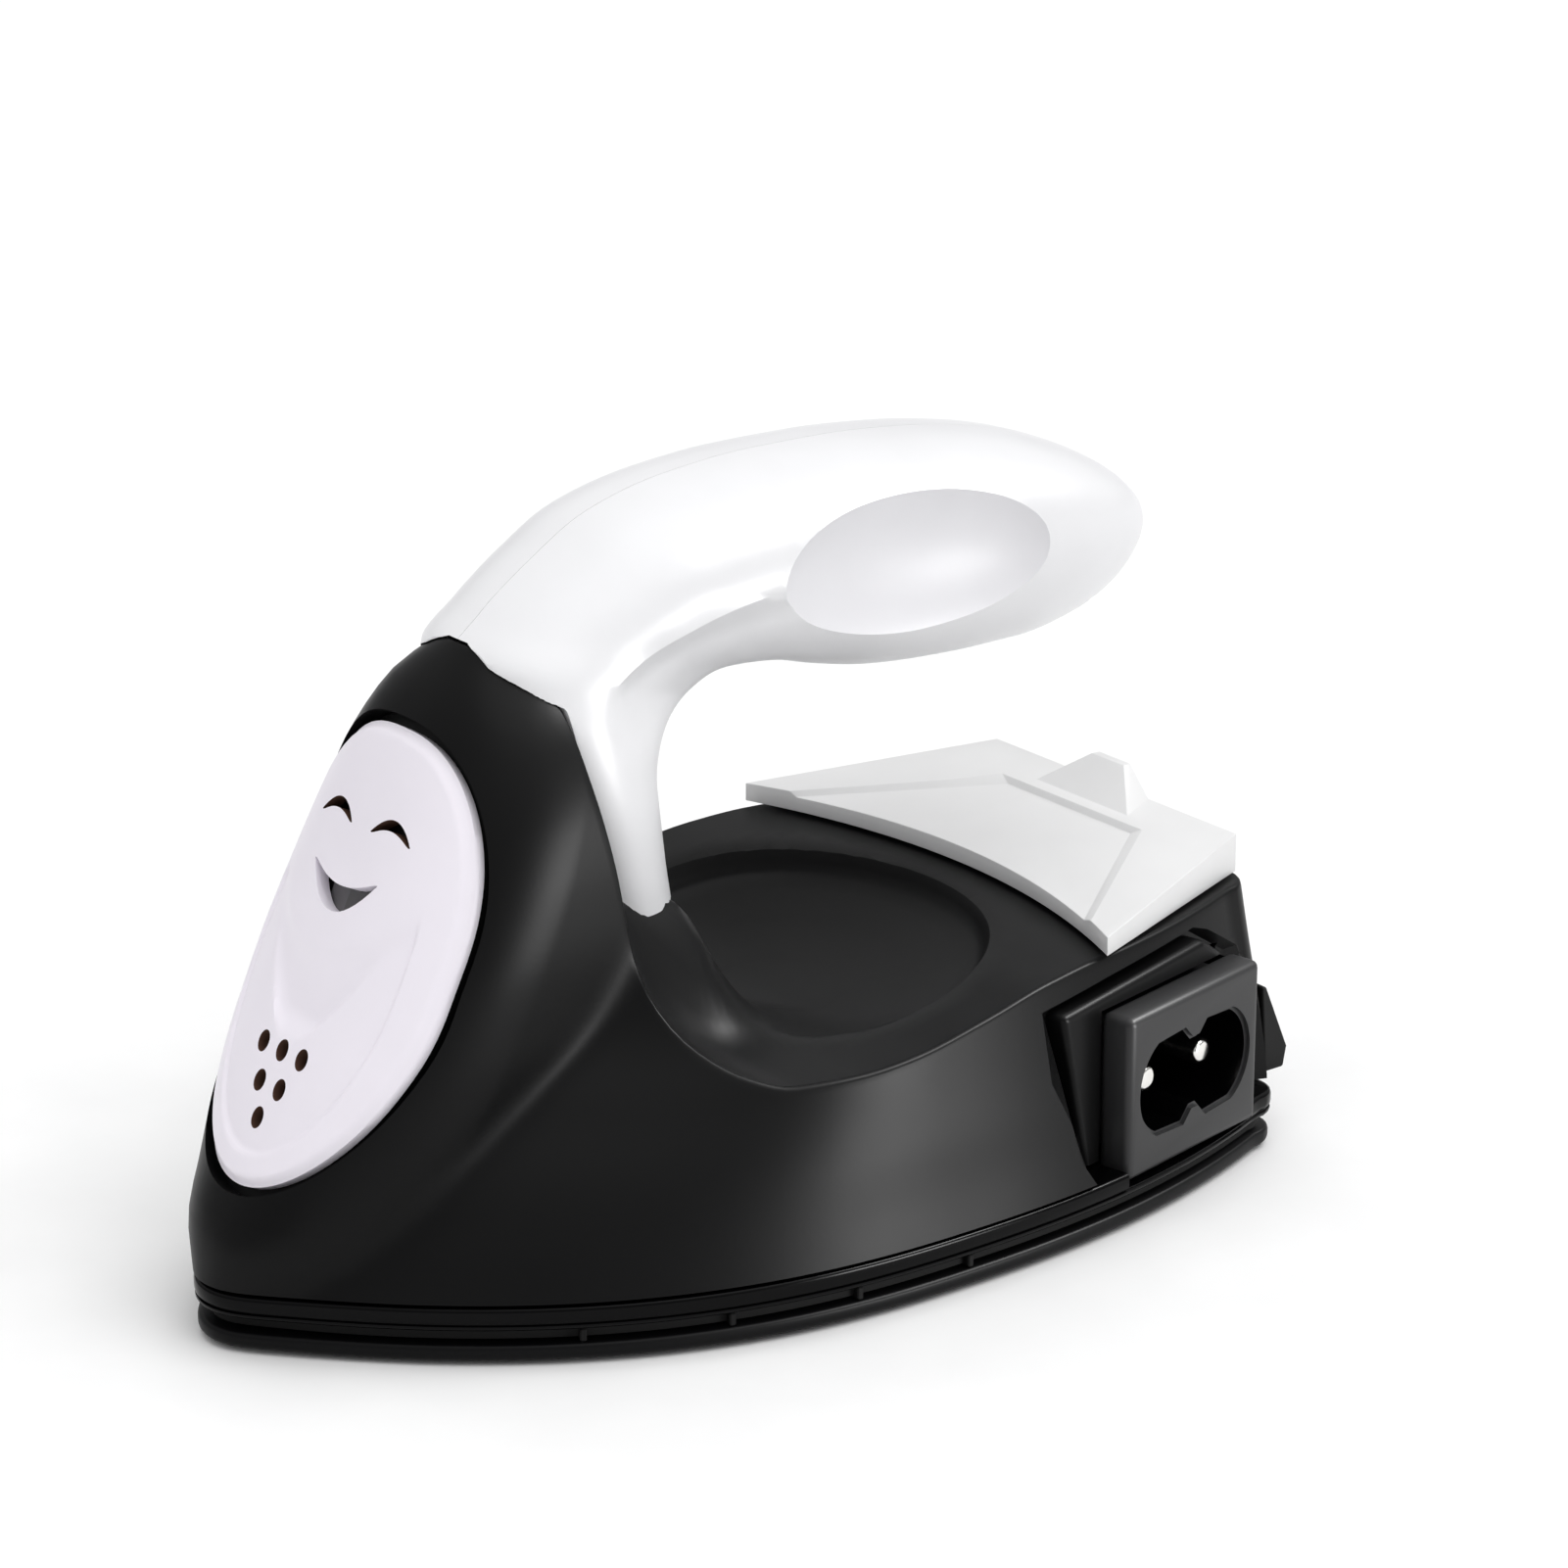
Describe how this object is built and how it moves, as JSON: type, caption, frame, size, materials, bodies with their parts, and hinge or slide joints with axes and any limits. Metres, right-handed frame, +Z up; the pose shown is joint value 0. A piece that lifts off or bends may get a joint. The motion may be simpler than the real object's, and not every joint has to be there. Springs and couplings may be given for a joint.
{
  "type": "clothes iron",
  "caption": "Small craft clothes iron with a curved cantilever handle, vented front panel, finger dish, heel rest and a two-pin mains inlet on its left side.",
  "frame": {"origin": "middle of the footprint, on the plane of the sole", "axes": "nose towards -Y, heel towards +Y, left side with the mains inlet towards +X, handle up along +Z"},
  "size_m": [0.0644, 0.107, 0.0697],
  "materials": {
    "sole_coating": "matte dark non-stick coating",
    "gasket_rubber": "matte",
    "gloss_black": "gloss",
    "satin_black": "satin",
    "inlet_black": "satin",
    "panel_white": "soft gloss, slightly lilac",
    "handle_white": "soft gloss",
    "heel_white": "soft gloss",
    "smoked_lens": "clear gloss",
    "foot_rubber": "matte",
    "nickel": "bright plated",
    "mica": "matte sheet",
    "steel": "zinc plated",
    "aluminium": "plain",
    "ceramic": "unglazed steatite",
    "brass": "rolled strip",
    "silver_contact": "bright",
    "circuit_board": "matte",
    "resistor_body": "matte",
    "lead_brown": "matte sleeve",
    "lead_blue": "matte sleeve",
    "lead_red": "matte sleeve"
  },
  "bodies": {
    "iron": {"soleplate": "sole_coating", "sole_gasket": "gasket_rubber", "base_skirt": "gloss_black", "main_housing": "satin_black", "front_panel": "panel_white", "vent_backing": "satin_black", "indicator_lens": "smoked_lens", "handle_left": "handle_white", "handle_right": "handle_white", "heel_rest": "heel_white", "heel_foot_left": "foot_rubber", "heel_foot_right": "foot_rubber", "inlet_body": "inlet_black", "inlet_pin_front": "nickel", "inlet_pin_rear": "nickel", "mica_sheet_lower": "mica", "mica_sheet_upper": "mica", "heater_element": "mica", "pressure_plate": "steel", "heat_shield": "aluminium", "shield_spacer_front": "ceramic", "shield_spacer_rear": "ceramic", "clamp_screw_front": "steel", "clamp_screw_rear": "steel", "skirt_screw_1": "steel", "skirt_screw_2": "steel", "skirt_screw_3": "steel", "skirt_screw_4": "steel", "handle_screw_left": "steel", "handle_screw_right": "steel", "heel_screw_left": "steel", "heel_screw_right": "steel", "thermostat_base": "steel", "thermostat_rivet": "steel", "ceramic_washer_1": "ceramic", "ceramic_washer_2": "ceramic", "ceramic_washer_3": "ceramic", "bimetal_strip": "brass", "fixed_contact_blade": "brass", "fixed_contact": "silver_contact", "thermal_fuse": "nickel", "lamp_board": "circuit_board", "indicator_lamp": "smoked_lens", "lamp_resistor": "resistor_body", "wire_inlet_to_fuse": "lead_brown", "wire_fuse_to_heater": "lead_brown", "wire_inlet_to_thermostat": "lead_blue", "wire_thermostat_to_heater": "lead_blue", "wire_lamp_live": "lead_red", "wire_lamp_neutral": "lead_red"},
    "contact_arm": {"moving_contact_arm": "brass"}
  },
  "joints": [
    {"name": "thermostat_contact", "type": "hinge", "parent": "iron", "child": "contact_arm", "pos_m": [-0.0013, -0.033, 0.006], "axis": [0, 1, 0], "range_deg": [0, 3], "stiffness_Nm_per_rad": 0.01}
  ]
}
